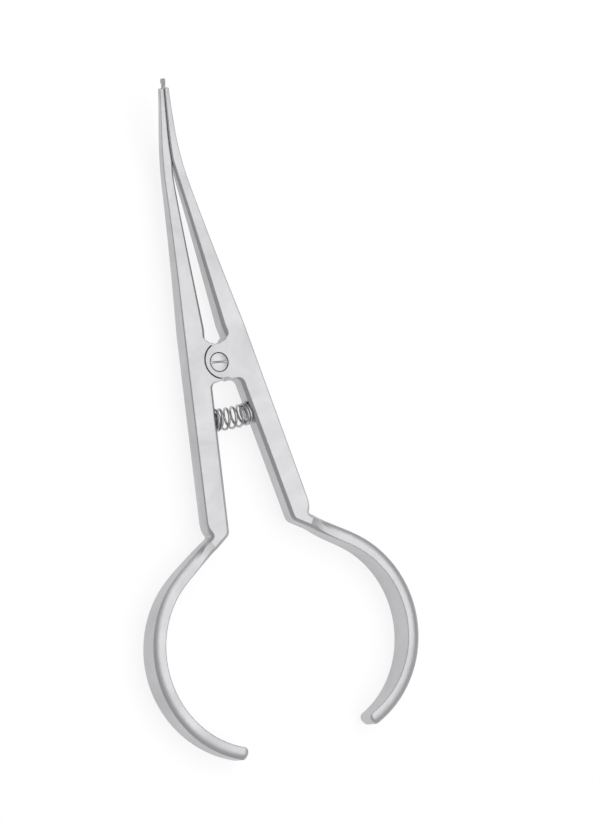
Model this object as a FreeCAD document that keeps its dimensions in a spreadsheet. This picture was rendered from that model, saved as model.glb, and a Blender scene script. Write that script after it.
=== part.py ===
import FreeCAD, Part
import math
import os
from FreeCAD import Vector

# Elastic separating pliers in millimetres.
# The frame has its origin at the middle of the lap joint's round ears, level with their underside.
# The jaws point along +Y, the finger rings along -Y, and +Z is up.
# The right arm is modelled first; the left arm mirrors its forging in the plane X = 0.

SIZES = {
    # Arm section
    "arm_thickness": 5.0,
    "edge_bevel": 0.7,
    # Outer sides of handle and jaw are crowned: a narrow bevel, then a slope down to full width
    "outer_bevel": 0.25,
    "crown_inset": 0.4,
    "crown_depth": 1.9,
    # Handle bar: X of its inner face at the pivot's level, its width across, and its flare
    "handle_inner_x": 2.97,
    "handle_width": 5.83,
    "handle_flare_deg": 7.4,
    # Lap joint
    "ear_radius": 4.1,
    "ear_clearance": 0.24,
    "pivot_x": -0.75,
    "pivot_y": -0.25,
    "lap_gap": 0.04,
    "web_reach_x": 0.65,
    "web_bottom_y": -4.6,
    "web_bottom_rise": 0.4,
    "web_top_y": 4.2,
    "web_top_rise": 0.35,
    "notch_radius": 1.6,
    "notch_top_radius": 1.1,
    "notch_top_x": 2.75,
    "notch_top_y": 5.3,
    "joint_outer_x": 9.05,
    "joint_blend_radius": 60.0,
    "joint_end_y": 8.0,
    # Jaw
    "jaw_root_outer_x": 8.04,
    "jaw_root_inner_x": 2.3,
    "jaw_apex_y": 47.9,
    "jaw_end_y": 64.0,
    "jaw_tip_width": 1.25,
    "jaw_tip_thickness": 1.15,
    "jaw_tip_bevel": 0.22,
    "jaw_outer_power": 1.3,
    "jaw_inner_power": 0.72,
    "mating_gap": 0.06,
    "bend_start_y": 41.5,
    "bend_radius": 36.0,
    "bend_deg": 22.0,
    # Tip nub, one half on each jaw
    "nub_foot_radius": 0.58,
    "nub_foot_height": 0.35,
    "nub_neck_radius": 0.53,
    "nub_neck_height": 1.0,
    "nub_flare_height": 0.35,
    "nub_knob_radius": 0.63,
    "nub_knob_height": 0.95,
    "nub_knob_rounding": 0.3,
    # Knee and open finger ring
    "ring_center_x": 8.05,
    "ring_center_y": -66.5,
    "ring_radius": 23.95,
    "ring_lead_deg": 33.8,
    "ring_end_deg": 70.6,
    "ring_width": 2.95,
    "ring_height": 7.8,
    "ring_swell_span": 1.15,
    "ring_blend_run": 9.0,
    "ring_sink": 1.3,
    "ring_sink_run": 5.0,
    "ring_edge": 0.15,
    "ring_strip": 0.95,
    "ring_start_drop": 0.4,
    "ring_end_drop": 0.9,
    "ring_camber": 0.22,
    "ring_least_camber": 0.004,
    "ring_nose_radius": 1.2,
    "ring_nose_last_deg": 84.0,
    "knee_corner_radius": 2.2,
    "knee_notch_radius": 0.5,
    "knee_cut_y": -36.9,
    "knee_cut_deg": 28.0,
    "knee_cut_radius": 4.5,
    "knee_lead_in": 1.2,
    # Pivot screw
    "screw_head_radius": 2.25,
    "screw_shoulder_radius": 1.7,
    "screw_thread_radius": 1.35,
    "screw_head_depth": 0.6,
    "screw_land": 0.3,
    "screw_rim_drop": 0.08,
    "screw_rim_rounding": 0.22,
    "screw_dome": 0.3,
    "screw_clearance": 0.04,
    "countersink_gap": 0.04,
    "slot_width": 0.35,
    "slot_depth": 0.35,
    "slot_deg": -7.0,
    # Return spring and its pegs
    "spring_y": -13.0,
    "spring_outer_radius": 2.7,
    "spring_wire": 0.6,
    "spring_turns": 6.75,
    "spring_left_closed": 1.0,
    "spring_right_closed": 1.75,
    "spring_closed_pitch": 1.05,
    "spring_end_gap": 0.06,
    "peg_radius": 1.75,
    "peg_length": 1.5,
    "peg_depth": 1.6,
    "peg_chamfer": 0.3,
    # Sections of each loft, sides of the wire, and how far each cutting tool runs past the part
    "jaw_root_steps": 12,
    "jaw_tip_steps": 6,
    "ring_lead_steps": 3,
    "ring_arc_steps": 12,
    "ring_nose_steps": 4,
    "spring_steps": 16,
    "wire_sides": 10,
    "overrun": 1.0,
}

doc = FreeCAD.newDocument("separating_pliers")
sheet = doc.addObject("Spreadsheet::Sheet", "Sizes")
for row, (alias, value) in enumerate(SIZES.items(), start=1):
    sheet.set(f"A{row}", alias)
    sheet.set(f"B{row}", str(value))
    sheet.setAlias(f"B{row}", alias)
doc.recompute()


def size(alias):
    return float(getattr(sheet, alias))


def add(kind, name, **expressions):
    """Adds an object and binds its properties; a double underscore stands for a dot."""
    item = doc.addObject(kind, name)
    for prop, expression in expressions.items():
        item.setExpression(prop.replace("__", "."), expression)
    return item


def add_shape(name, shape):
    item = doc.addObject("Part::Feature", name)
    item.Shape = shape
    return item


def fuse(name, *items):
    item = doc.addObject("Part::MultiFuse", name)
    item.Shapes = list(items)
    return item


def cut(name, base, tool):
    item = doc.addObject("Part::Cut", name)
    item.Base = base
    item.Tool = tool
    return item


def wire_of(points):
    return Part.makePolygon(points + [points[0]])


# Handle lines

flare = math.radians(size("handle_flare_deg"))
handle_down = Vector(math.sin(flare), -math.cos(flare), 0)
handle_out = Vector(math.cos(flare), math.sin(flare), 0)
inner_line = Vector(size("handle_inner_x"), 0, 0)
outer_line = inner_line + handle_out * size("handle_width")
lead = math.radians(size("ring_lead_deg"))
lead_way = Vector(math.cos(lead), -math.sin(lead), 0)
lead_out = Vector(math.sin(lead), math.cos(lead), 0)
ring_center = Vector(size("ring_center_x"), size("ring_center_y"), 0)
lead_line = ring_center + lead_out * size("ring_radius")
half_ring = size("ring_width") / 2


def on_line(start, way, y):
    return start + way * ((y - start.y) / way.y)


def crossing(start_a, way_a, start_b, way_b):
    """Point where two lines of the plan cross."""
    across = way_a.x * way_b.y - way_a.y * way_b.x
    gap = start_b - start_a
    return start_a + way_a * ((gap.x * way_b.y - gap.y * way_b.x) / across)


def rounded(points, radii):
    """Closed plan outline through points, each corner rounded by its radius."""
    count = len(points)
    ends = []
    for index, corner in enumerate(points):
        to_last = (points[index - 1] - corner).normalize()
        to_next = (points[(index + 1) % count] - corner).normalize()
        turn = to_last.getAngle(to_next)
        radius = radii[index]
        reach = radius / math.tan(turn / 2)
        middle = corner + (to_last + to_next).normalize() * (radius / math.sin(turn / 2) - radius)
        ends.append((corner + to_last * reach, middle, corner + to_next * reach))
    edges = []
    for index, (start, middle, end) in enumerate(ends):
        if radii[index] > 0:
            edges.append(Part.Arc(start, middle, end).toShape())
        edges.append(Part.makeLine(end, ends[(index + 1) % count][0]))
    return Part.Wire(edges)


def drawn_in(points, radii, amounts):
    """The same outline with each side moved inward by its own amount."""
    count = len(points)
    moved = []
    turned = []
    for index, corner in enumerate(points):
        last_way = (corner - points[index - 1]).normalize()
        next_way = (points[(index + 1) % count] - corner).normalize()
        last_in = Vector(-last_way.y, last_way.x, 0) * amounts[index - 1]
        next_in = Vector(-next_way.y, next_way.x, 0) * amounts[index]
        moved.append(crossing(corner + last_in, last_way, corner + next_in, next_way))
        amount = min(amounts[index - 1], amounts[index])
        left_turn = last_way.x * next_way.y - last_way.y * next_way.x > 0
        radius = radii[index]
        grown = radius - amount if left_turn else radius + amount
        turned.append(max(grown, radius / 4) if radius > 0 else 0)
    return moved, turned


# Knee points, where the handle turns into the ring

cut_turn = math.radians(size("knee_cut_deg"))
cut_way = Vector(-math.sin(cut_turn), -math.cos(cut_turn), 0)
outer_knee = on_line(outer_line, handle_down, size("knee_cut_y"))
inner_corner = crossing(inner_line, handle_down, lead_line - lead_out * half_ring, lead_way)
notch = crossing(outer_knee, cut_way, lead_line + lead_out * half_ring, lead_way)
lead_end = notch - lead_out * half_ring + lead_way * size("knee_lead_in")

# Joint block, handle bar and knee in one plate with bevelled and crowned sides

def edge_depths():
    """Depths below the face at which the sides of the plate change slope."""
    return [0, size("outer_bevel"), size("edge_bevel"), size("crown_depth")]


def side_edges():
    """How far a plain, a bevelled and a crowned side lie inward at each of those depths."""
    bevel, inset, full = size("edge_bevel"), size("crown_inset"), size("crown_depth")
    outer_bevel = size("outer_bevel")
    slope = inset / (full - outer_bevel)
    bevelled = [max(0.0, bevel - depth) for depth in edge_depths()]
    crowned = [inset + outer_bevel] + [(full - depth) * slope for depth in edge_depths()[1:]]
    return [0, 0, 0, 0], bevelled, crowned


def joint_and_handle():
    thickness = size("arm_thickness")
    joint_end = size("joint_end_y")
    web_x, web_bottom, web_top = size("web_reach_x"), size("web_bottom_y"), size("web_top_y")
    bottom_rise, top_rise = size("web_bottom_rise"), size("web_top_rise")
    notch_top = Vector(size("notch_top_x"), size("notch_top_y"), 0)
    flank = notch_top.y - web_top - top_rise
    # Each corner with its radius and the edge of the side that follows it
    plain, bevelled, crowned = side_edges()
    corners = [
        (Vector(web_x, web_bottom + bottom_rise, 0), 0, plain),
        (Vector(web_x + 2 * bottom_rise, web_bottom, 0), 0, plain),
        (on_line(inner_line, handle_down, web_bottom), size("notch_radius"), bevelled),
        (inner_corner, size("knee_corner_radius"), bevelled),
        (lead_end - lead_out * half_ring, 0, plain),
        (lead_end + lead_out * half_ring, 0, bevelled),
        (notch, size("knee_notch_radius"), bevelled),
        (outer_knee, size("knee_cut_radius"), crowned),
        (Vector(size("joint_outer_x"), 0, 0), size("joint_blend_radius"), crowned),
        (Vector(size("jaw_root_outer_x"), joint_end, 0), 0, plain),
        (Vector(size("jaw_root_inner_x"), joint_end, 0), 0, bevelled),
        (notch_top, size("notch_top_radius"), plain),
        (notch_top - Vector(flank, flank, 0), 0, plain),
        (Vector(web_x, web_top, 0), 0, plain),
    ]
    points, radii, edges = zip(*corners)
    lower, upper = [], []
    for level, depth in enumerate(edge_depths()):
        moved, turned = drawn_in(points, radii, [edge[level] for edge in edges])
        lower.append(rounded([corner + Vector(0, 0, depth) for corner in moved], turned))
        upper.append(rounded([corner + Vector(0, 0, thickness - depth) for corner in moved], turned))
    return Part.makeLoft(lower + upper[::-1], True, True)


# Jaw laws along Y

def share(y):
    return (y - size("joint_end_y")) / (size("jaw_end_y") - size("joint_end_y"))


def between(start, end, part):
    return start + (end - start) * part


def jaw_outer(y):
    root = size("jaw_root_outer_x")
    tip = size("mating_gap") / 2 + size("jaw_tip_width")
    return tip + (root - tip) * max(0.0, 1 - share(y)) ** size("jaw_outer_power")


def jaw_inner(y):
    start = size("joint_end_y")
    part = min(1.0, (y - start) / (size("jaw_apex_y") - start))
    closed = size("mating_gap") / 2
    return closed + (size("jaw_root_inner_x") - closed) * (1 - part) ** size("jaw_inner_power")


def jaw_center(y):
    """Height of the jaw's middle line, and its slope, where the tips bend upward."""
    start = size("bend_start_y")
    radius = size("bend_radius")
    bend = math.radians(size("bend_deg"))
    middle = size("arm_thickness") / 2
    if y <= start:
        return middle, 0.0
    if y - start < radius * math.sin(bend):
        angle = math.asin((y - start) / radius)
        return middle + radius * (1 - math.cos(angle)), angle
    straight = y - start - radius * math.sin(bend)
    return middle + radius * (1 - math.cos(bend)) + straight * math.tan(bend), bend


def jaw_section(y):
    """Section with bevelled inner edges and a crowned outer side, as the plate has at the jaw's root."""
    height = between(size("arm_thickness"), size("jaw_tip_thickness"), share(y)) / 2
    bevel = between(size("edge_bevel"), size("jaw_tip_bevel"), share(y))
    outer_bevel = size("outer_bevel") * bevel / size("edge_bevel")
    crown = size("crown_inset") * bevel / size("edge_bevel")
    full = height - size("crown_depth") * height * 2 / size("arm_thickness")
    inner, outer = jaw_inner(y), jaw_outer(y)
    middle, angle = jaw_center(y)
    upper = [(inner, height - bevel), (inner + bevel, height), (outer - crown - outer_bevel, height),
             (outer - crown, height - outer_bevel), (outer, full)]
    corners = upper + [(x, -rise) for x, rise in upper[::-1]]
    return wire_of([Vector(x, y - rise * math.sin(angle), middle + rise * math.cos(angle)) for x, rise in corners])


def evenly(start, end, steps):
    """Values from start to end, both included."""
    count = int(size(steps))
    return [between(start, end, step / count) for step in range(count + 1)]


def jaw():
    apex = size("jaw_apex_y")
    root_stations = evenly(size("joint_end_y"), apex, "jaw_root_steps")
    tip_stations = evenly(apex, size("jaw_end_y"), "jaw_tip_steps")
    root = Part.makeLoft([jaw_section(y) for y in root_stations], True, False)
    tip = Part.makeLoft([jaw_section(y) for y in tip_stations], True, False)
    return root.fuse(tip)


# Finger ring: it starts with the handle's bevelled section and grows into a tall band

arc_start = math.pi / 2 - lead
arc_end = -math.radians(size("ring_end_deg"))
lead_run = (lead_line - lead_end).Length
ring_run = lead_run + size("ring_radius") * (arc_start - arc_end)


def eased(part):
    """Smooth rise from 0 to 1."""
    return 0.5 - 0.5 * math.cos(math.pi * min(1.0, part))


def ring_section(run, drawn=0.0):
    """Section of the band at a run along it, drawn in on both sides for the rounded end.
    The band's middle line lies lower than the handle's."""
    if run < lead_run:
        center = lead_end + lead_way * run
        outward = lead_out
    else:
        angle = arc_start - (run - lead_run) / size("ring_radius")
        outward = Vector(math.cos(angle), math.sin(angle), 0)
        center = ring_center + outward * size("ring_radius")
    blend = eased(run / size("ring_blend_run"))
    sink = size("ring_sink") * eased(run / size("ring_sink_run"))
    swell = math.sin(math.pi * run / (ring_run * size("ring_swell_span")))
    bevel = size("edge_bevel")
    top = between(size("arm_thickness"), size("ring_height"), swell) / 2 - drawn / 2
    edge = between(bevel, size("ring_edge"), blend)
    crest = between(half_ring - bevel, size("ring_strip") - half_ring, blend)
    drop = between(bevel, between(size("ring_start_drop"), size("ring_end_drop"), run / ring_run), blend)
    side = 1 - drawn / half_ring
    camber = size("ring_camber") * blend + size("ring_least_camber")
    middle = center + Vector(0, 0, size("arm_thickness") / 2 - sink)

    def at(across, rise):
        return middle + outward * (across * side) + Vector(0, 0, rise)

    inner, halfway = edge - half_ring, (crest + half_ring) / 2
    hump = top - drop / 2 + camber
    return Part.Wire([
        Part.makeLine(at(-half_ring, edge - top), at(-half_ring, top - edge)),
        Part.makeLine(at(-half_ring, top - edge), at(inner, top)),
        Part.makeLine(at(inner, top), at(crest, top)),
        Part.Arc(at(crest, top), at(halfway, hump), at(half_ring, top - drop)).toShape(),
        Part.makeLine(at(half_ring, top - drop), at(half_ring, drop - top)),
        Part.Arc(at(half_ring, drop - top), at(halfway, -hump), at(crest, -top)).toShape(),
        Part.makeLine(at(crest, -top), at(inner, -top)),
        Part.makeLine(at(inner, -top), at(-half_ring, edge - top)),
    ])


def ring():
    nose = size("ring_nose_radius")
    runs = evenly(0, lead_run, "ring_lead_steps")[:-1] + evenly(lead_run, ring_run - nose, "ring_arc_steps")
    band = Part.makeLoft([ring_section(run) for run in runs], True, False)
    turns = evenly(0, math.radians(size("ring_nose_last_deg")), "ring_nose_steps")
    sections = [ring_section(ring_run - nose + nose * math.sin(turn), nose * (1 - math.cos(turn))) for turn in turns]
    return band.fuse(Part.makeLoft(sections, True, True))


def ease_end(kind, name, base, end, amount):
    """Chamfer or fillet round the end circle whose centre is given."""
    doc.recompute()
    eased = doc.addObject(kind, name)
    eased.Base = base
    eased.Edges = [(number, amount, amount) for number, edge in enumerate(base.Shape.Edges, start=1)
                   if len(edge.Vertexes) == 1 and (edge.CenterOfMass - end).Length < 1e-3]
    return eased


# Half nub at the jaw tip, on the mating plane: foot, waist, flare and flat-topped knob

def add_nub():
    height, angle = jaw_center(size("jaw_end_y"))
    way = Vector(0, math.cos(angle), math.sin(angle))
    base = Vector(0, size("jaw_end_y"), height)
    turn = FreeCAD.Rotation(Vector(0, 0, 1), way)
    foot = add("Part::Cone", "nub_foot", Radius1="Sizes.nub_foot_radius", Radius2="Sizes.nub_neck_radius",
               Height="Sizes.nub_foot_height")
    neck = add("Part::Cylinder", "nub_neck", Radius="Sizes.nub_neck_radius", Height="Sizes.nub_neck_height")
    flared = add("Part::Cone", "nub_flare", Radius1="Sizes.nub_neck_radius", Radius2="Sizes.nub_knob_radius",
                 Height="Sizes.nub_flare_height")
    knob = add("Part::Cylinder", "nub_knob", Radius="Sizes.nub_knob_radius", Height="Sizes.nub_knob_height")
    flare_foot = base + way * size("nub_neck_height")
    knob_foot = flare_foot + way * size("nub_flare_height")
    for item, place in ((foot, base), (neck, base), (flared, flare_foot), (knob, knob_foot)):
        item.Placement = FreeCAD.Placement(place, turn)
    knob_top = knob_foot + way * size("nub_knob_height")
    whole = fuse("nub_whole", foot, neck, flared,
                 ease_end("Part::Fillet", "nub_knob_rounded", knob, knob_top, size("nub_knob_rounding")))
    reach = (knob_top - base).Length
    side = add_shape("nub_other_side", Part.makeBox(reach, 2 * reach, 2 * reach,
                                                    base + Vector(size("mating_gap") / 2 - reach, -reach, -reach)))
    return cut("nub_half", whole, side)


# Forging shared by both arms

plate = add_shape("joint_and_handle", joint_and_handle())
jaw_piece = add_shape("jaw", jaw())
ring_piece = add_shape("finger_ring", ring())
nub = add_nub()
forging = fuse("right_forging", plate, jaw_piece, ring_piece, nub)
mirrored = doc.addObject("Part::Mirroring", "left_forging")
mirrored.Source = forging
mirrored.Normal = Vector(1, 0, 0)

# Peg holes, square to the inner faces

peg_y = size("spring_y")
seat = on_line(inner_line, handle_down, peg_y)


def add_peg(name, side, length):
    """Cylinder along the inner face's normal, from its foot in the handle."""
    out = Vector(-handle_out.x * side, -handle_out.y, 0)
    foot = Vector(seat.x * side, seat.y, size("arm_thickness") / 2) - out * size("peg_depth")
    peg = add("Part::Cylinder", name, Radius="Sizes.peg_radius", Height=length)
    peg.Placement = FreeCAD.Placement(foot, FreeCAD.Rotation(Vector(0, 0, 1), out))
    return peg, foot + out * (size("peg_depth") + size("peg_length"))


right_hole, _ = add_peg("right_peg_hole", 1, "Sizes.peg_depth + Sizes.overrun")
left_hole, _ = add_peg("left_peg_hole", -1, "Sizes.peg_depth + Sizes.overrun")
right_pin, right_end = add_peg("right_pin", 1, "Sizes.peg_depth + Sizes.peg_length")
left_pin, left_end = add_peg("left_pin", -1, "Sizes.peg_depth + Sizes.peg_length")
right_peg = ease_end("Part::Chamfer", "right_spring_peg", right_pin, right_end, size("peg_chamfer"))
left_peg = ease_end("Part::Chamfer", "left_spring_peg", left_pin, left_end, size("peg_chamfer"))

# Lap joint: the right ear lies on top, the left ear below

UPPER = "Sizes.arm_thickness / 2 + Sizes.lap_gap / 2"
LOWER = "Sizes.arm_thickness / 2 - Sizes.lap_gap / 2"

right_ear = add("Part::Cylinder", "right_ear", Radius="Sizes.ear_radius", Height=LOWER, Placement__Base__z=UPPER)
left_ear = add("Part::Cylinder", "left_ear", Radius="Sizes.ear_radius", Height=LOWER)
right_recess = add("Part::Cylinder", "right_recess", Radius="Sizes.ear_radius + Sizes.ear_clearance",
                   Height="Sizes.overrun + " + UPPER, Placement__Base__z="-Sizes.overrun")
left_recess = add("Part::Cylinder", "left_recess", Radius="Sizes.ear_radius + Sizes.ear_clearance",
                  Height="Sizes.overrun + " + UPPER, Placement__Base__z=LOWER)

# Pivot hole and countersink in the right arm, tapped hole in the left arm

HEAD_TOP = "Sizes.arm_thickness - Sizes.screw_rim_drop"
LAND_FOOT = HEAD_TOP + " - Sizes.screw_land"
HEAD_FOOT = LAND_FOOT + " - Sizes.screw_head_depth"


def add_on_pivot(kind, name, z, **expressions):
    """Adds a round object on the pivot axis, at its height."""
    return add(kind, name, Placement__Base__x="Sizes.pivot_x", Placement__Base__y="Sizes.pivot_y",
               Placement__Base__z=z, **expressions)


pivot_bore = add_on_pivot("Part::Cylinder", "pivot_bore", "0", Height="Sizes.arm_thickness",
                          Radius="Sizes.screw_shoulder_radius + Sizes.screw_clearance")
countersink = add_on_pivot("Part::Cone", "countersink", HEAD_FOOT,
                           Radius1="Sizes.screw_shoulder_radius + Sizes.countersink_gap",
                           Radius2="Sizes.screw_head_radius + Sizes.countersink_gap",
                           Height="Sizes.screw_head_depth")
counterbore = add_on_pivot("Part::Cylinder", "counterbore", LAND_FOOT,
                           Radius="Sizes.screw_head_radius + Sizes.countersink_gap",
                           Height="Sizes.screw_land + Sizes.screw_rim_drop + Sizes.overrun")
tapped_hole = add_on_pivot("Part::Cylinder", "tapped_hole", "0", Radius="Sizes.screw_thread_radius",
                           Height="Sizes.arm_thickness")

right_blank = cut("right_blank", forging, fuse("right_cuts", right_recess, right_hole))
right_arm = cut("right_arm", fuse("right_with_ear", right_blank, right_ear),
                fuse("right_holes", pivot_bore, countersink, counterbore))
left_blank = cut("left_blank", mirrored, fuse("left_cuts", left_recess, left_hole))
left_arm = cut("left_arm", fuse("left_with_ear", left_blank, left_ear), tapped_hole)

# Pivot screw: thread, shoulder, tapered head with a short land, a rounded dome and a slot

thread = add_on_pivot("Part::Cylinder", "screw_thread", "0", Radius="Sizes.screw_thread_radius", Height=LOWER)
shoulder = add_on_pivot("Part::Cylinder", "screw_shoulder", LOWER, Radius="Sizes.screw_shoulder_radius",
                        Height=HEAD_FOOT + " - (" + LOWER + ")")
head = add_on_pivot("Part::Cone", "screw_head", HEAD_FOOT, Radius1="Sizes.screw_shoulder_radius",
                    Radius2="Sizes.screw_head_radius", Height="Sizes.screw_head_depth")
land = add_on_pivot("Part::Cylinder", "screw_head_land", LAND_FOOT, Radius="Sizes.screw_head_radius",
                    Height="Sizes.screw_land")
BALL_RADIUS = "(Sizes.screw_head_radius ^ 2 + Sizes.screw_dome ^ 2) / (2 * Sizes.screw_dome)"
dome_ball = add_on_pivot("Part::Sphere", "screw_dome_ball", HEAD_TOP + " + Sizes.screw_dome - " + BALL_RADIUS,
                         Radius=BALL_RADIUS)
dome_blank = add_on_pivot("Part::Cylinder", "screw_dome_blank", HEAD_TOP, Radius="Sizes.screw_head_radius",
                          Height="Sizes.screw_dome + Sizes.overrun")
dome = doc.addObject("Part::Common", "screw_dome")
dome.Base = dome_ball
dome.Tool = dome_blank
rim_center = Vector(size("pivot_x"), size("pivot_y"), size("arm_thickness") - size("screw_rim_drop"))
domed_head = ease_end("Part::Fillet", "screw_domed_head", fuse("screw_sharp_head", head, land, dome), rim_center,
                      size("screw_rim_rounding"))
slot = add("Part::Box", "screw_slot", Length="2 * (Sizes.screw_head_radius + Sizes.overrun)",
           Width="Sizes.slot_width", Height="Sizes.slot_depth + Sizes.overrun")
slot_turn = FreeCAD.Rotation(Vector(0, 0, 1), size("slot_deg"))
slot_corner = slot_turn.multVec(Vector(-size("screw_head_radius") - size("overrun"), -size("slot_width") / 2, 0))
slot_rise = Vector(0, 0, size("screw_dome") - size("slot_depth"))
slot.Placement = FreeCAD.Placement(rim_center + slot_corner + slot_rise, slot_turn)
screw = cut("pivot_screw", fuse("screw_blank", thread, shoulder, domed_head), slot)

# Return spring: closed ends square to the handles, so its axis is an arc

def spring():
    wire = size("spring_wire")
    mean = size("spring_outer_radius") - wire / 2
    turns = size("spring_turns")
    arc_radius = seat.x / math.sin(flare)
    arc_center = Vector(0, seat.y + arc_radius * math.cos(flare), size("arm_thickness") / 2)
    reach = flare - (size("spring_end_gap") + wire / 2) / arc_radius
    closed_step = wire * size("spring_closed_pitch") / (2 * reach * arc_radius)
    left_closed, right_closed = size("spring_left_closed"), size("spring_right_closed")
    open_share = 1 - closed_step * (left_closed + right_closed)
    open_turns = turns - left_closed - right_closed

    def share_at(turn):
        if turn < left_closed:
            return closed_step * turn
        if turn > turns - right_closed:
            return 1 - closed_step * (turns - turn)
        return closed_step * left_closed + open_share * (turn - left_closed) / open_turns

    def frame(turn):
        angle = between(-reach, reach, share_at(turn))
        coil = 2 * math.pi * turn
        outward = Vector(math.sin(angle), -math.cos(angle), 0)
        spoke = outward * math.cos(coil) + Vector(0, 0, math.sin(coil))
        return arc_center + outward * arc_radius + spoke * mean, spoke

    steps = int(turns * size("spring_steps"))
    sides = int(size("wire_sides"))
    sections = []
    for step in range(steps + 1):
        turn = turns * step / steps
        center, spoke = frame(turn)
        way = (frame(turn + 1 / steps)[0] - frame(turn - 1 / steps)[0]).normalize()
        across = way.cross(spoke)
        bearings = [2 * math.pi * side / sides for side in range(sides)]
        sections.append(wire_of([center + (spoke * math.cos(bearing) + across * math.sin(bearing)) * (wire / 2)
                                 for bearing in bearings]))
    return Part.makeLoft(sections, True, True)


return_spring = add_shape("return_spring", spring())

doc.recompute()

# Check every object, then write each piece

for item in doc.Objects:
    if "Invalid" in item.State or "Error" in item.State:
        raise RuntimeError(item.Name + " failed: " + str(item.State))

PIECES = {
    "left_arm": left_arm,
    "right_arm": right_arm,
    "pivot_screw": screw,
    "return_spring": return_spring,
    "left_spring_peg": left_peg,
    "right_spring_peg": right_peg,
}

os.makedirs("parts", exist_ok=True)
for node, item in PIECES.items():
    item.Label = node
    shape = item.Shape
    if shape.isNull() or not shape.isValid():
        raise RuntimeError(node + " has no valid shape")
    shape.exportStep(os.path.join("parts", node + ".step"))
    print(node, "solids", len(shape.Solids), "volume", round(shape.Volume, 2), shape.BoundBox)
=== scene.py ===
import math

import bmesh
import bpy
from mathutils import Matrix, Vector


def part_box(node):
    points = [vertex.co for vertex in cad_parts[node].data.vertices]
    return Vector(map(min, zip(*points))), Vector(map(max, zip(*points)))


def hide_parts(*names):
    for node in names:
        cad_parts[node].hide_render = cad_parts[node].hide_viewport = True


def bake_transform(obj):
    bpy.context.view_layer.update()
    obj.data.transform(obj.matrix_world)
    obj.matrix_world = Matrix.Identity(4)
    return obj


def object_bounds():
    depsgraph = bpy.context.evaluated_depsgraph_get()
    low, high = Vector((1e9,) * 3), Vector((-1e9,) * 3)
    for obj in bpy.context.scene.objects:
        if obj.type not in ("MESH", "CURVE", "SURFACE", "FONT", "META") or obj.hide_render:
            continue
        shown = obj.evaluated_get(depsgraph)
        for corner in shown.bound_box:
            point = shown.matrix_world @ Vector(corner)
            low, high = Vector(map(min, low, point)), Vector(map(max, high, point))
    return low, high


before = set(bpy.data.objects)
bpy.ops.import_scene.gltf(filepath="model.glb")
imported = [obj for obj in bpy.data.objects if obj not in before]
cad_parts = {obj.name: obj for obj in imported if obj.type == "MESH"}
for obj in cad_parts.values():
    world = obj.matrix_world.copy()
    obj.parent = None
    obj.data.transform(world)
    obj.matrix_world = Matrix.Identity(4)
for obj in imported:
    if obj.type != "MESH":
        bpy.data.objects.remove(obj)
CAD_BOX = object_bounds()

bl_info = {
    "name": "Elastic Separating Pliers",
    "version": (1, 0, 0),
    "blender": (4, 5, 0),
    "location": "View3D > Sidebar > Pliers",
    "description": "Satin steel finish, return spring and studio stage for elastic separating pliers",
    "category": "Object",
}

ARMS = ("left_arm", "right_arm")
TURNED = ("pivot_screw", "left_spring_peg", "right_spring_peg")

# Satin grain: pits mixed with lines that are brushed along Y
PITS = {"Detail": 3.0, "Roughness": 0.6}
PIT_SHARE = 0.6
LINES = {"Detail": 2.0}
LINE_SHARE = 0.4
LINE_SCALE_SHARE = 0.7
LINE_STRETCH = (1.0, 0.12, 1.0)

# Size and depth of each steel's grain, as shares of the settings
FORGED_GRAIN = (1.0, 1.0)
TURNED_GRAIN = (0.6, 0.25)
WIRE_GRAIN = (0.5, 0.4)

# Edges that are rubbed, with a painted highlight: the turn of the rounded normal where wear and
# highlight start and where they are full
EDGE_SAMPLES = 8
EDGE_TURN = (0.03, 0.16)
WEAR_AND_HIGHLIGHT_PATCHES = {"Scale": 420.0, "Detail": 4.0}
WEAR_AND_HIGHLIGHT_PATCH_LEVELS = (0.3, 0.6)
LEAST_WEAR_AND_HIGHLIGHT = 0.35

# Painted shade in crevices: how open a corner is where the painted shade starts and where it is full
SHADE_SAMPLES = 8
SHADE_OPENNESS = (0.75, 0.25)
SHADE_SPOTS = {"Scale": 900.0, "Detail": 3.0}
SHADE_SPOT_LEVELS = (0.3, 0.55)
LEAST_SHADE = 0.6

# Handling smears
SMEARS = {"Detail": 5.0, "Roughness": 0.65, "Distortion": 0.6}
SMEAR_SCALE = 90.0
SMEAR_LEVELS = (0.32, 0.68)

# What the patterns do to the steel's colour and roughness
DULL_SHARE = 0.89
GLINT_SHARE = 1.05
GRAIN_ROUGHNESS = 0.1
SMEAR_ROUGHNESS = 0.05
EDGE_POLISH = 0.12

# Lathe rings, and the share of them that is added to the grain's height
LATHE_RINGS = {"Scale": 1400.0, "Distortion": 0.4}
LATHE_SHARE = 0.6

# Floor: it gives off most of its white itself, and lit parts of it add the rest
PAPER_COLOR = (0.26, 0.26, 0.26, 1)
PAPER_ROUGHNESS = 0.9
PAPER_GLOW = 0.8
WHITE = (1, 1, 1, 1)

WELD_DISTANCE = 1e-7
SENSOR_WIDTH = 36.0
CLIP_START, CLIP_END = 0.01, 50.0


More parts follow.
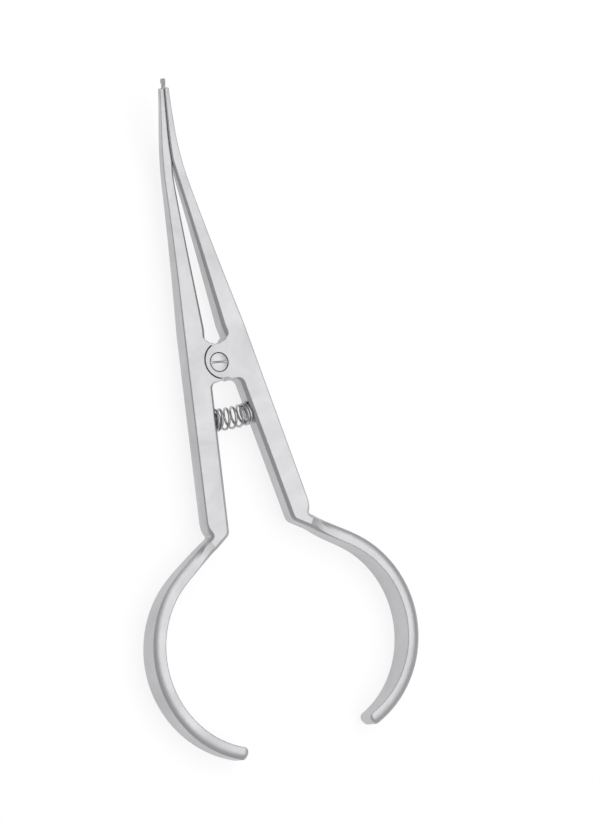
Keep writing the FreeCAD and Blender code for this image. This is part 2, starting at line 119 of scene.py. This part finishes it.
class SteelSettings(bpy.types.PropertyGroup):
    """Colours and surface detail of the three steels"""

    forged_color: bpy.props.FloatVectorProperty(
        name="Forged steel", description="Base colour of both arms",
        subtype="COLOR", size=3, min=0, max=1, default=(0.55, 0.55, 0.565))
    turned_color: bpy.props.FloatVectorProperty(
        name="Turned steel", description="Base colour of the screw and the spring pegs",
        subtype="COLOR", size=3, min=0, max=1, default=(0.53, 0.53, 0.543))
    wire_color: bpy.props.FloatVectorProperty(
        name="Spring wire", description="Base colour of the drawn wire",
        subtype="COLOR", size=3, min=0, max=1, default=(0.5, 0.5, 0.51))
    forged_roughness: bpy.props.FloatProperty(
        name="Forged roughness", description="Mean roughness of the satin arms",
        subtype="FACTOR", min=0, max=1, default=0.42)
    turned_roughness: bpy.props.FloatProperty(
        name="Turned roughness", description="Mean roughness of the screw and pegs",
        subtype="FACTOR", min=0, max=1, default=0.34)
    wire_roughness: bpy.props.FloatProperty(
        name="Wire roughness", description="Mean roughness of the spring wire",
        subtype="FACTOR", min=0, max=1, default=0.24)
    grain_size: bpy.props.FloatProperty(
        name="Grain size", description="Size of one grain of the blasted finish",
        subtype="DISTANCE", unit="LENGTH", min=0.00002, max=0.002, default=0.00022)
    grain_depth: bpy.props.FloatProperty(
        name="Grain depth", description="Height of the blasted grain",
        subtype="DISTANCE", unit="LENGTH", min=0, max=0.0001, default=0.000012)
    edge_width: bpy.props.FloatProperty(
        name="Edge wear and highlight width", description="Width of the rounded edges, their wear and painted highlight",
        subtype="DISTANCE", unit="LENGTH", min=0.00002, max=0.001, default=0.0003)
    # Colour of the painted shade in narrow gaps and corners
    painted_shade_color: bpy.props.FloatVectorProperty(
        name="Painted shade", description="Colour of the painted shade in narrow gaps",
        subtype="COLOR", size=3, min=0, max=1, default=(0.1, 0.1, 0.1))
    shade_reach: bpy.props.FloatProperty(
        name="Painted shade reach",
        description="How far apart the walls of a gap may be and still get painted shade",
        subtype="DISTANCE", unit="LENGTH", min=0.00005, max=0.002, default=0.0005)
    # Brightening of the edges: a painted highlight on top of their wear
    edge_light: bpy.props.FloatProperty(
        name="Edge wear and highlight", description="How far the painted highlight brightens the rubbed edges",
        subtype="FACTOR", min=0, max=1, default=0.25)


class SpringSettings(bpy.types.PropertyGroup):
    """Sizes of the coil spring between the handles"""

    coil_radius: bpy.props.FloatProperty(
        name="Coil radius", description="Outer radius of the coils",
        subtype="DISTANCE", unit="LENGTH", default=0.0027)
    wire_radius: bpy.props.FloatProperty(
        name="Wire radius", description="Radius of the wire",
        subtype="DISTANCE", unit="LENGTH", default=0.0003)
    turns: bpy.props.FloatProperty(
        name="Turns", description="All turns, the closed ones included",
        min=3, max=20, default=6.75)
    left_closed: bpy.props.FloatProperty(
        name="Left closed turns", description="Touching turns at the left handle",
        min=0.5, max=3, default=1.0)
    right_closed: bpy.props.FloatProperty(
        name="Right closed turns", description="Touching turns at the right handle",
        min=0.5, max=3, default=1.75)
    closed_pitch: bpy.props.FloatProperty(
        name="Closed pitch", description="Pitch of a closed turn, in wire diameters",
        min=1, max=2, default=1.05)
    end_gap: bpy.props.FloatProperty(
        name="End gap", description="Gap between the spring and each handle",
        subtype="DISTANCE", unit="LENGTH", default=0.00006)
    seat_x: bpy.props.FloatProperty(
        name="Seat X", description="Distance of each seat from the middle plane",
        subtype="DISTANCE", unit="LENGTH", default=0.0046584)
    handle_flare: bpy.props.FloatProperty(
        name="Handle flare", description="Angle of each handle to the middle plane",
        subtype="ANGLE", unit="ROTATION", default=math.radians(7.4))
    steps: bpy.props.IntProperty(
        name="Steps per turn", description="Rings of faces in one turn",
        min=12, max=96, default=48)
    sides: bpy.props.IntProperty(
        name="Wire sides", description="Sides of the wire's section",
        min=6, max=32, default=16)


class StageSettings(bpy.types.PropertyGroup):
    """Floor, softbox, room light and camera"""

    floor_size: bpy.props.FloatProperty(
        name="Floor size", description="Side of the square floor",
        subtype="DISTANCE", unit="LENGTH", default=6.0)
    key_power: bpy.props.FloatProperty(
        name="Key power", description="Power of the overhead softbox",
        subtype="POWER", default=5.3)
    key_size: bpy.props.FloatVectorProperty(
        name="Key size", description="Width and length of the overhead softbox",
        subtype="XYZ_LENGTH", unit="LENGTH", size=2, default=(0.94, 1.6))
    key_place: bpy.props.FloatVectorProperty(
        name="Key place", description="Middle of the overhead softbox",
        subtype="TRANSLATION", unit="LENGTH", size=3, default=(0.3, 0.0, 0.9))
    world_level: bpy.props.FloatProperty(
        name="World level", description="Strength of the room's light",
        min=0, max=2, default=0.47)
    camera_distance: bpy.props.FloatProperty(
        name="Camera distance", description="Distance from the camera to its target",
        subtype="DISTANCE", unit="LENGTH", default=0.7)
    camera_way: bpy.props.FloatVectorProperty(
        name="Camera direction",
        description="X and Y of the unit direction from the target to the camera",
        size=2, default=(-0.42, -0.0429))
    camera_roll: bpy.props.FloatProperty(
        name="Camera roll", description="Roll about the line of sight",
        subtype="ANGLE", unit="ROTATION", default=-0.2371)
    target: bpy.props.FloatVectorProperty(
        name="Camera target", description="Point at the middle of the picture",
        subtype="TRANSLATION", unit="LENGTH", size=3, default=(0.0185, -0.01531, 0.0))
    lens: bpy.props.FloatProperty(
        name="Lens", description="Focal length for a 36 mm long side",
        subtype="DISTANCE_CAMERA", default=130.36)


# Shader helpers

def plug(tree, value, socket):
    """Links the value where it is a socket, and sets it otherwise."""
    if isinstance(value, bpy.types.NodeSocket):
        tree.links.new(value, socket)
    else:
        socket.default_value = value


def new_group(name, inputs, outputs):
    group = bpy.data.node_groups.new(name, "ShaderNodeTree")
    for label, kind in inputs:
        group.interface.new_socket(label, in_out="INPUT", socket_type=kind)
    for label, kind in outputs:
        group.interface.new_socket(label, in_out="OUTPUT", socket_type=kind)
    return group, group.nodes.new("NodeGroupInput"), group.nodes.new("NodeGroupOutput")


def place_group(tree, name, maker, values):
    node = tree.nodes.new("ShaderNodeGroup")
    node.node_tree = bpy.data.node_groups.get(name) or maker()
    for label, value in values.items():
        plug(tree, value, node.inputs[label])
    return node


def math_node(tree, operation, first, second):
    node = tree.nodes.new("ShaderNodeMath")
    node.operation = operation
    plug(tree, first, node.inputs[0])
    plug(tree, second, node.inputs[1])
    return node.outputs[0]


def noise(tree, vector, values):
    node = tree.nodes.new("ShaderNodeTexNoise")
    tree.links.new(vector, node.inputs["Vector"])
    for label, value in values.items():
        plug(tree, value, node.inputs[label])
    return node.outputs["Fac"]


def ranged(tree, value, given=(0.0, 1.0), wanted=(0.0, 1.0)):
    """Carries a value from the given range into the wanted one, and holds it inside."""
    node = tree.nodes.new("ShaderNodeMapRange")
    node.inputs["From Min"].default_value, node.inputs["From Max"].default_value = given
    node.inputs["To Min"].default_value, node.inputs["To Max"].default_value = wanted
    tree.links.new(value, node.inputs["Value"])
    return node.outputs["Result"]


def mixed_color(tree, factor, first, second):
    node = tree.nodes.new("ShaderNodeMix")
    node.data_type = "RGBA"
    tree.links.new(factor, node.inputs["Factor"])
    for socket, value in ((node.inputs["A"], first), (node.inputs["B"], second)):
        is_socket = isinstance(value, bpy.types.NodeSocket)
        plug(tree, value if is_socket else (*value, 1.0), socket)
    return node.outputs["Result"]


# Shared patterns

def grain_group():
    """Blasted and lightly brushed grain: a height, and a mask that varies about one half."""
    group, given, result = new_group(
        "Satin grain",
        [("Vector", "NodeSocketVector"), ("Grain size", "NodeSocketFloat")],
        [("Height", "NodeSocketFloat"), ("Mask", "NodeSocketFloat")])
    scale = math_node(group, "DIVIDE", 1.0, given.outputs["Grain size"])
    pits = noise(group, given.outputs["Vector"], {"Scale": scale, **PITS})
    brushed = group.nodes.new("ShaderNodeMapping")
    brushed.inputs["Scale"].default_value = LINE_STRETCH
    group.links.new(given.outputs["Vector"], brushed.inputs["Vector"])
    line_scale = math_node(group, "MULTIPLY", scale, LINE_SCALE_SHARE)
    lines = noise(group, brushed.outputs["Vector"], {"Scale": line_scale, **LINES})
    both = math_node(group, "ADD", math_node(group, "MULTIPLY", pits, PIT_SHARE),
                     math_node(group, "MULTIPLY", lines, LINE_SHARE))
    group.links.new(both, result.inputs["Height"])
    group.links.new(both, result.inputs["Mask"])
    return group


def edge_group():
    """Edges that are rubbed: a mask that is one on sharp edges, for their wear and a painted
    highlight, and a normal that rounds them.
    """
    group, given, result = new_group(
        "Worn edges with painted highlight",
        [("Vector", "NodeSocketVector"), ("Width", "NodeSocketFloat")],
        [("Mask", "NodeSocketFloat"), ("Normal", "NodeSocketVector")])
    bevel = group.nodes.new("ShaderNodeBevel")
    bevel.samples = EDGE_SAMPLES
    group.links.new(given.outputs["Width"], bevel.inputs["Radius"])
    surface = group.nodes.new("ShaderNodeNewGeometry")
    alike = group.nodes.new("ShaderNodeVectorMath")
    alike.operation = "DOT_PRODUCT"
    group.links.new(bevel.outputs["Normal"], alike.inputs[0])
    group.links.new(surface.outputs["Normal"], alike.inputs[1])
    turned = math_node(group, "SUBTRACT", 1.0, alike.outputs["Value"])
    worn = ranged(group, turned, given=EDGE_TURN)
    patches = noise(group, given.outputs["Vector"], WEAR_AND_HIGHLIGHT_PATCHES)
    uneven = ranged(group, patches, given=WEAR_AND_HIGHLIGHT_PATCH_LEVELS, wanted=(LEAST_WEAR_AND_HIGHLIGHT, 1.0))
    group.links.new(math_node(group, "MULTIPLY", worn, uneven), result.inputs["Mask"])
    group.links.new(bevel.outputs["Normal"], result.inputs["Normal"])
    return group


def painted_shade_group():
    """Painted shade in narrow gaps and corners, darker where ambient occlusion finds them closed, as
    a mask.
    """
    group, given, result = new_group(
        "Painted crevice shade",
        [("Vector", "NodeSocketVector"), ("Reach", "NodeSocketFloat")],
        [("Mask", "NodeSocketFloat")])
    # Occlusion finds where shade falls; the colour there gets painted shade
    nearby = group.nodes.new("ShaderNodeAmbientOcclusion")
    nearby.samples = SHADE_SAMPLES
    group.links.new(given.outputs["Reach"], nearby.inputs["Distance"])
    closed = ranged(group, nearby.outputs["AO"], given=SHADE_OPENNESS)
    spots = noise(group, given.outputs["Vector"], SHADE_SPOTS)
    uneven = ranged(group, spots, given=SHADE_SPOT_LEVELS, wanted=(LEAST_SHADE, 1.0))
    group.links.new(math_node(group, "MULTIPLY", closed, uneven), result.inputs["Mask"])
    return group


def handling_group():
    """Faint smears of handling and cleaning, as one mask of large soft patches."""
    group, given, result = new_group(
        "Handling smears",
        [("Vector", "NodeSocketVector"), ("Scale", "NodeSocketFloat")],
        [("Mask", "NodeSocketFloat")])
    smears = noise(group, given.outputs["Vector"], {"Scale": given.outputs["Scale"], **SMEARS})
    group.links.new(ranged(group, smears, given=SMEAR_LEVELS), result.inputs["Mask"])
    return group


def steel(name, color, roughness, grain_shares, turned_rings=False):
    """Bare steel with grain, smears, rubbed edges with a painted highlight and painted shade in
    crevices, and lathe rings about Z if turned.
    """
    settings = bpy.context.scene.pliers_steel
    size_share, depth_share = grain_shares
    material = bpy.data.materials.new(name)
    material.use_nodes = True
    tree = material.node_tree
    shader = tree.nodes["Principled BSDF"]
    shader.inputs["Metallic"].default_value = 1.0
    coordinates = tree.nodes.new("ShaderNodeTexCoord").outputs["Object"]
    grain = place_group(tree, "Satin grain", grain_group,
                        {"Vector": coordinates, "Grain size": settings.grain_size * size_share})
    edges = place_group(tree, "Worn edges with painted highlight", edge_group,
                        {"Vector": coordinates, "Width": settings.edge_width})
    smears = place_group(tree, "Handling smears", handling_group,
                         {"Vector": coordinates, "Scale": SMEAR_SCALE})
    crevice_shade = place_group(tree, "Painted crevice shade", painted_shade_group,
                        {"Vector": coordinates, "Reach": settings.shade_reach})

    dull = tuple(channel * DULL_SHARE for channel in color)
    glint = tuple(min(1.0, channel * GLINT_SHARE) for channel in color)
    # Painted highlight colour for the edges
    highlighted = tuple(min(1.0, channel + (1 - channel) * settings.edge_light) for channel in color)
    body = mixed_color(tree, smears.outputs["Mask"], dull, color)
    speckled = mixed_color(tree, grain.outputs["Mask"], body, glint)
    # Edges take the painted highlight colour, and their wear
    rubbed_and_highlit = mixed_color(tree, edges.outputs["Mask"], speckled, highlighted)
    # Painted shade: darkens the colour in narrow gaps and corners
    crevice_shaded = mixed_color(tree, crevice_shade.outputs["Mask"], rubbed_and_highlit, settings.painted_shade_color)
    tree.links.new(crevice_shaded, shader.inputs["Base Color"])

    matt = math_node(tree, "ADD",
                     ranged(tree, grain.outputs["Mask"],
                            wanted=(roughness - GRAIN_ROUGHNESS, roughness + GRAIN_ROUGHNESS)),
                     ranged(tree, smears.outputs["Mask"],
                            wanted=(SMEAR_ROUGHNESS, -SMEAR_ROUGHNESS)))
    polished = math_node(tree, "MULTIPLY", edges.outputs["Mask"], -EDGE_POLISH)
    tree.links.new(math_node(tree, "ADD", matt, polished), shader.inputs["Roughness"])

    height = grain.outputs["Height"]
    if turned_rings:
        rings = tree.nodes.new("ShaderNodeTexWave")
        rings.wave_type = "RINGS"
        rings.rings_direction = "Z"
        for label, value in LATHE_RINGS.items():
            rings.inputs[label].default_value = value
        tree.links.new(coordinates, rings.inputs["Vector"])
        height = math_node(tree, "ADD", height,
                           math_node(tree, "MULTIPLY", rings.outputs["Fac"], LATHE_SHARE))
    bump = tree.nodes.new("ShaderNodeBump")
    bump.inputs["Strength"].default_value = 1.0
    bump.inputs["Distance"].default_value = settings.grain_depth * depth_share
    tree.links.new(height, bump.inputs["Height"])
    tree.links.new(edges.outputs["Normal"], bump.inputs["Normal"])
    tree.links.new(bump.outputs["Normal"], shader.inputs["Normal"])
    return material


def dress(nodes, material):
    for name in nodes:
        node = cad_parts.get(name)
        if node is None:
            raise RuntimeError("there is no part named " + name)
        for slot in node.material_slots:
            slot.material = material


class PLIERS_OT_finish_arms(bpy.types.Operator):
    """Give both forged arms their satin steel"""

    bl_idname = "pliers.finish_arms"
    bl_label = "Finish Arms"

    def execute(self, context):
        settings = context.scene.pliers_steel
        dress(ARMS, steel("Satin forged steel", settings.forged_color,
                          settings.forged_roughness, FORGED_GRAIN))
        return {"FINISHED"}


class PLIERS_OT_finish_turned(bpy.types.Operator):
    """Give the pivot screw and the spring pegs their turned steel"""

    bl_idname = "pliers.finish_turned"
    bl_label = "Finish Screw and Pegs"

    def execute(self, context):
        settings = context.scene.pliers_steel
        dress(TURNED, steel("Turned steel", settings.turned_color,
                            settings.turned_roughness, TURNED_GRAIN, turned_rings=True))
        return {"FINISHED"}


class PLIERS_OT_wind_spring(bpy.types.Operator):
    """Wind the return spring between the handles"""

    bl_idname = "pliers.wind_spring"
    bl_label = "Wind Return Spring"

    def execute(self, context):
        size = context.scene.pliers_spring
        wire = wound_wire(size)
        bend_between_handles(wire, size)
        bmesh.ops.recalc_face_normals(wire, faces=wire.faces)
        for face in wire.faces:
            face.smooth = True
        mesh = bpy.data.meshes.new("return_coil")
        wire.to_mesh(mesh)
        wire.free()
        coil = bpy.data.objects.new("return_coil", mesh)
        context.scene.collection.objects.link(coil)
        settings = context.scene.pliers_steel
        mesh.materials.append(steel("Drawn spring wire", settings.wire_color,
                                    settings.wire_roughness, WIRE_GRAIN))
        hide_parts("return_spring")
        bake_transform(coil)
        return {"FINISHED"}


def arc_radius(size):
    """Radius of the arc on which the coil's axis meets both handles squarely."""
    return size.seat_x / math.sin(size.handle_flare)


def spring_length(size):
    """Length of the coil's axis between the centres of its first and last wire."""
    return 2 * (arc_radius(size) * size.handle_flare - size.end_gap - size.wire_radius)


def wound_wire(size):
    """Straight coil along X from the wire's round section, each stretch spun with its own pitch."""
    coil = bmesh.new()
    mean_radius = size.coil_radius - size.wire_radius
    length = spring_length(size)
    closed_pitch = 2 * size.wire_radius * size.closed_pitch
    closed_turns = size.left_closed + size.right_closed
    open_turns = size.turns - closed_turns
    open_pitch = (length - closed_pitch * closed_turns) / open_turns
    place = Matrix.Translation((-length / 2, -mean_radius, 0))
    bmesh.ops.create_circle(coil, cap_ends=True, radius=size.wire_radius,
                            segments=size.sides, matrix=place)
    section = list(coil.verts) + list(coil.edges)
    stretches = ((size.left_closed, closed_pitch), (open_turns, open_pitch),
                 (size.right_closed, closed_pitch))
    for turns, pitch in stretches:
        steps = max(1, round(turns * size.steps))
        spun = bmesh.ops.spin(coil, geom=section, cent=(0, 0, 0), axis=(1, 0, 0),
                              dvec=(pitch * turns / steps, 0, 0),
                              angle=-2 * math.pi * turns, steps=steps, use_merge=False)
        section = [item for item in spun["geom_last"] if not isinstance(item, bmesh.types.BMFace)]
    ends = [item for item in section if isinstance(item, bmesh.types.BMEdge)]
    bmesh.ops.holes_fill(coil, edges=ends, sides=size.sides)
    bmesh.ops.remove_doubles(coil, verts=coil.verts, dist=WELD_DISTANCE)
    return coil


def bend_between_handles(coil, size):
    """Bends the straight coil on its arc, and moves it to the place of the spring's solid."""
    low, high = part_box("return_spring")
    middle_radius = arc_radius(size)
    for vertex in coil.verts:
        angle = vertex.co.x / middle_radius
        radius = middle_radius - vertex.co.y
        vertex.co = Vector((radius * math.sin(angle), -radius * math.cos(angle), vertex.co.z))
    lowest = min(vertex.co.y for vertex in coil.verts)
    heights = [vertex.co.z for vertex in coil.verts]
    middle = (min(heights) + max(heights)) / 2
    bmesh.ops.translate(coil, verts=coil.verts,
                        vec=(0, low.y - lowest, (low.z + high.z) / 2 - middle))


class PLIERS_OT_set_stage(bpy.types.Operator):
    """Set the white floor, the softbox, the room's light and the camera"""

    bl_idname = "pliers.set_stage"
    bl_label = "Set Stage"

    def execute(self, context):
        settings = context.scene.pliers_stage
        add_floor(settings, CAD_BOX[0].z)
        add_softbox(settings)
        light_room(settings)
        aim_camera(settings)
        context.scene.view_settings.view_transform = "Standard"
        return {"FINISHED"}


def shows_directly(tree):
    """One for rays from the camera, and for those that a mirror or glass passes on."""
    path = tree.nodes.new("ShaderNodeLightPath")
    seen = math_node(tree, "MAXIMUM", path.outputs["Is Camera Ray"],
                     path.outputs["Is Glossy Ray"])
    return math_node(tree, "MAXIMUM", seen, path.outputs["Is Transmission Ray"])


def add_floor(settings, level):
    plane = bmesh.new()
    bmesh.ops.create_grid(plane, x_segments=1, y_segments=1, size=settings.floor_size / 2,
                          matrix=Matrix.Translation((0, 0, level)))
    mesh = bpy.data.meshes.new("floor")
    plane.to_mesh(mesh)
    plane.free()
    floor = bpy.data.objects.new("floor", mesh)
    bpy.context.scene.collection.objects.link(floor)
    material = bpy.data.materials.new("White paper")
    material.use_nodes = True
    tree = material.node_tree
    shader = tree.nodes["Principled BSDF"]
    shader.inputs["Base Color"].default_value = PAPER_COLOR
    shader.inputs["Roughness"].default_value = PAPER_ROUGHNESS
    shader.inputs["Specular IOR Level"].default_value = 0.0
    glow = tree.nodes.new("ShaderNodeEmission")
    glow.inputs["Color"].default_value = WHITE
    tree.links.new(math_node(tree, "MULTIPLY", shows_directly(tree), PAPER_GLOW),
                   glow.inputs["Strength"])
    total = tree.nodes.new("ShaderNodeAddShader")
    tree.links.new(shader.outputs[0], total.inputs[0])
    tree.links.new(glow.outputs[0], total.inputs[1])
    tree.links.new(total.outputs[0], tree.nodes["Material Output"].inputs["Surface"])
    mesh.materials.append(material)


def add_softbox(settings):
    light = bpy.data.lights.new("Overhead softbox", "AREA")
    light.shape = "RECTANGLE"
    light.size, light.size_y = settings.key_size
    light.energy = settings.key_power
    lamp = bpy.data.objects.new("Overhead softbox", light)
    lamp.location = settings.key_place
    bpy.context.scene.collection.objects.link(lamp)


def light_room(settings):
    world = bpy.data.worlds.new("Pale room")
    world.use_nodes = True
    bpy.context.scene.world = world
    background = world.node_tree.nodes["Background"]
    background.inputs["Color"].default_value = WHITE
    background.inputs["Strength"].default_value = settings.world_level


def aim_camera(settings):
    way_x, way_y = settings.camera_way
    back = Vector((way_x, way_y, math.sqrt(1 - way_x ** 2 - way_y ** 2)))
    up = (Vector((0, 1, 0)) - back * back.y).normalized()
    right = up.cross(back)
    level = Matrix((right, up, back)).transposed()
    roll = Matrix.Rotation(settings.camera_roll, 3, "Z")
    place = Matrix.Translation(Vector(settings.target) + back * settings.camera_distance)
    data = bpy.data.cameras.new("Photo camera")
    data.sensor_width = SENSOR_WIDTH
    data.lens = settings.lens
    data.clip_start, data.clip_end = CLIP_START, CLIP_END
    camera = bpy.data.objects.new("Photo camera", data)
    camera.matrix_world = place @ (level @ roll).to_4x4()
    bpy.context.scene.collection.objects.link(camera)
    bpy.context.scene.camera = camera


class PLIERS_PT_panel(bpy.types.Panel):
    """Sizes, colours and steps of the pliers"""

    bl_label = "Pliers"
    bl_idname = "PLIERS_PT_panel"
    bl_space_type = "VIEW_3D"
    bl_region_type = "UI"
    bl_category = "Pliers"

    def draw(self, context):
        scene = context.scene
        for settings, heading in ((scene.pliers_steel, "Steel"), (scene.pliers_spring, "Spring"),
                                  (scene.pliers_stage, "Stage")):
            box = self.layout.box()
            box.label(text=heading)
            for name in settings.bl_rna.properties.keys():
                if name not in {"rna_type", "name"}:
                    box.prop(settings, name)
        for operator in STEPS:
            self.layout.operator(operator.bl_idname)


STEPS = (PLIERS_OT_finish_arms, PLIERS_OT_finish_turned, PLIERS_OT_wind_spring, PLIERS_OT_set_stage)
CLASSES = (SteelSettings, SpringSettings, StageSettings, *STEPS, PLIERS_PT_panel)


def register():
    for cls in CLASSES:
        bpy.utils.register_class(cls)
    bpy.types.Scene.pliers_steel = bpy.props.PointerProperty(type=SteelSettings)
    bpy.types.Scene.pliers_spring = bpy.props.PointerProperty(type=SpringSettings)
    bpy.types.Scene.pliers_stage = bpy.props.PointerProperty(type=StageSettings)


def unregister():
    del bpy.types.Scene.pliers_stage
    del bpy.types.Scene.pliers_spring
    del bpy.types.Scene.pliers_steel
    for cls in reversed(CLASSES):
        bpy.utils.unregister_class(cls)


def main():
    register()
    bpy.ops.pliers.finish_arms()
    bpy.ops.pliers.finish_turned()
    bpy.ops.pliers.wind_spring()
    bpy.ops.pliers.set_stage()


if __name__ == "__main__":
    main()
